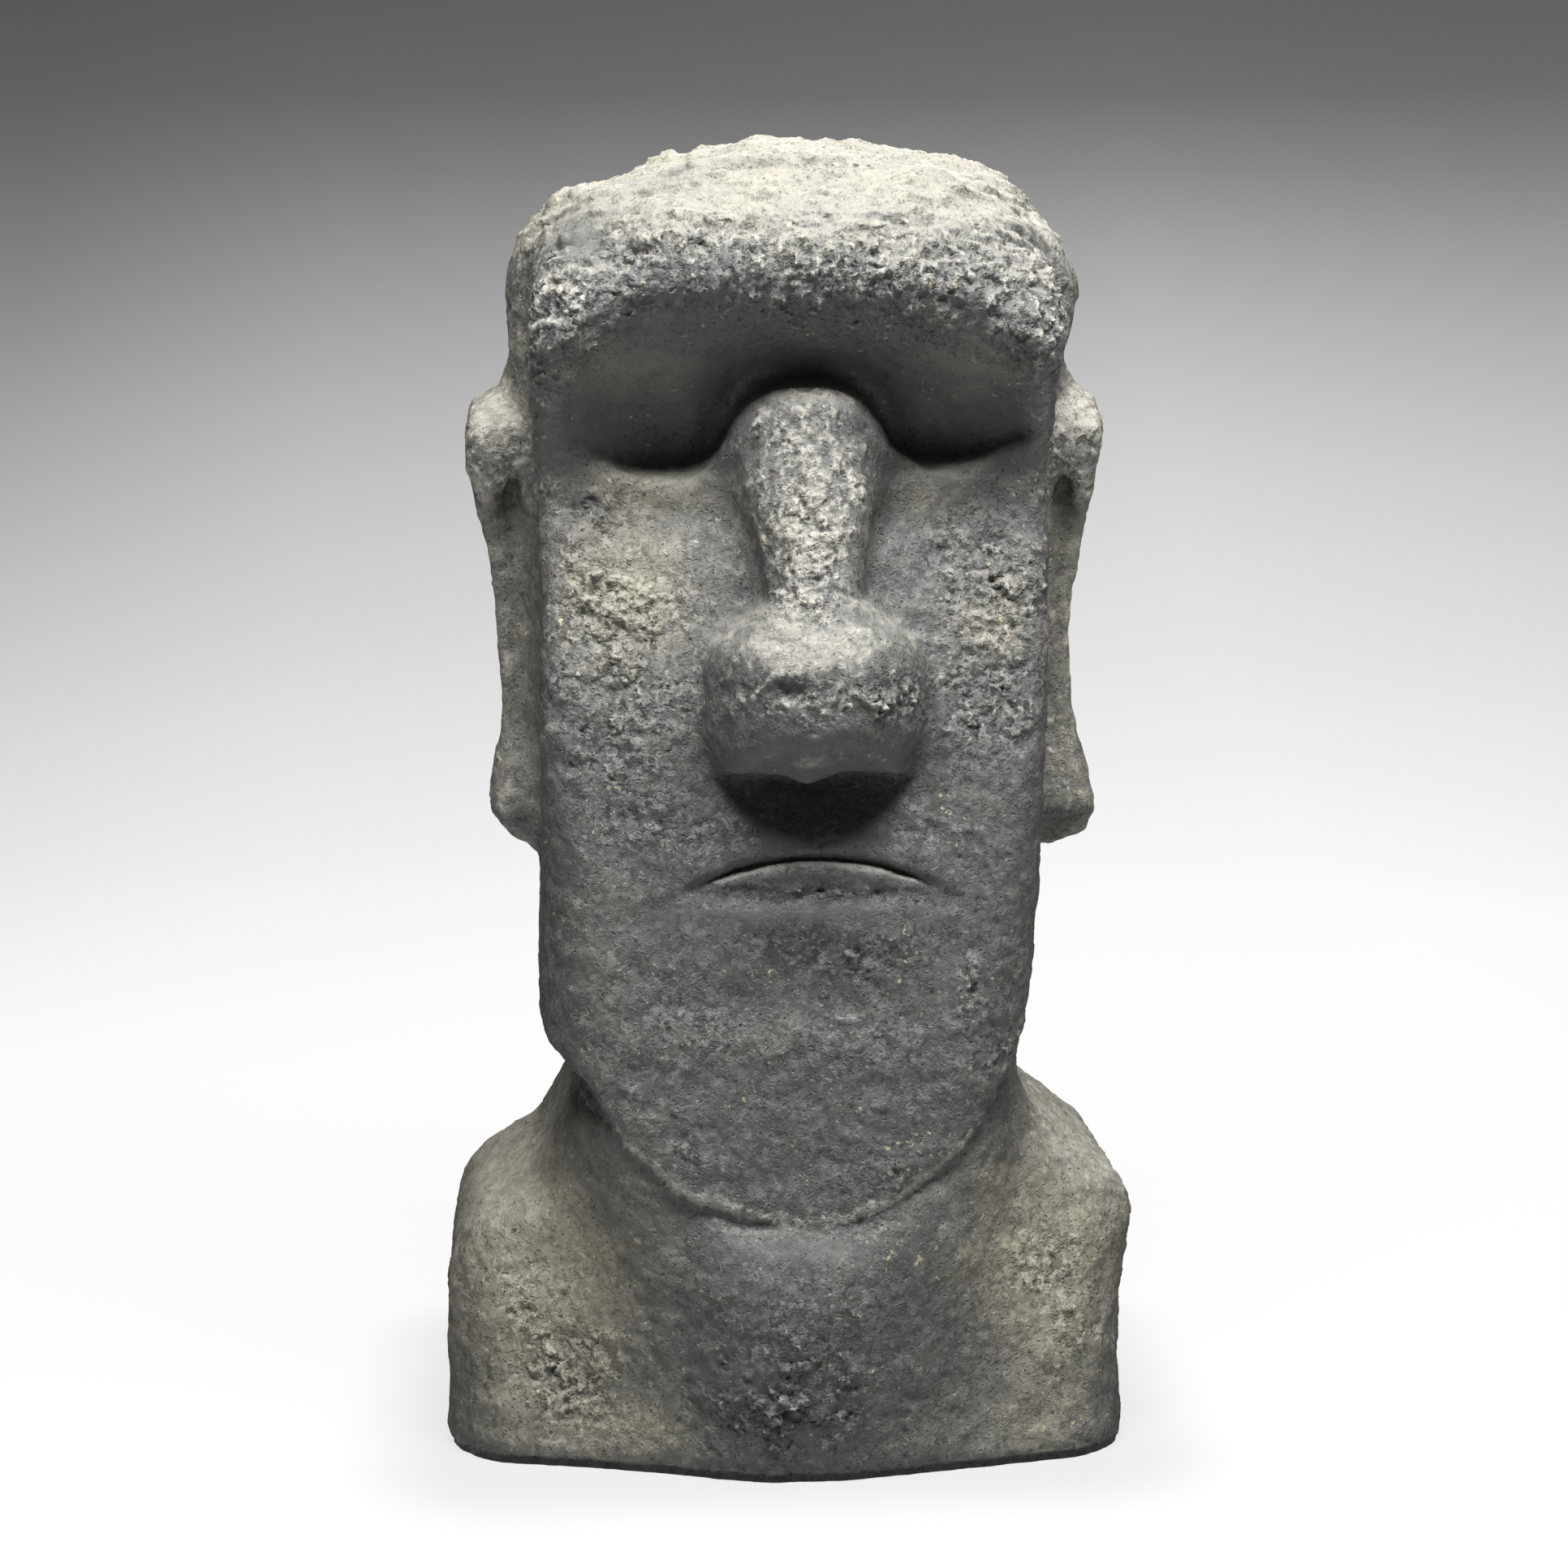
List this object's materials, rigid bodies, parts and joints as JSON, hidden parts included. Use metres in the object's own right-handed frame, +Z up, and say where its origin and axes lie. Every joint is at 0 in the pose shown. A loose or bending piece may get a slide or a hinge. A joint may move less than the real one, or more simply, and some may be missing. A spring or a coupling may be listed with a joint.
{
  "type": "moai statue",
  "caption": "Stylised moai head on a short bust, one piece: deep brow, long nose, arched mouth and long ears, in rough dark grey cast stone, standing on a flat foot.",
  "frame": {"origin": "on the floor plane under the middle of the bust, on its flat underside", "axes": "+Z up; the face looks along -Y; +X is on the viewer's right when the viewer faces the statue"},
  "size_m": [0.2977, 0.2406, 0.56],
  "materials": {
    "painted_cast_stone": "matt dark grey, rough like broken lava stone, worn to cream flecks on the high spots"
  },
  "bodies": {
    "root": {"moai_statue": "painted_cast_stone"}
  },
  "joints": []
}
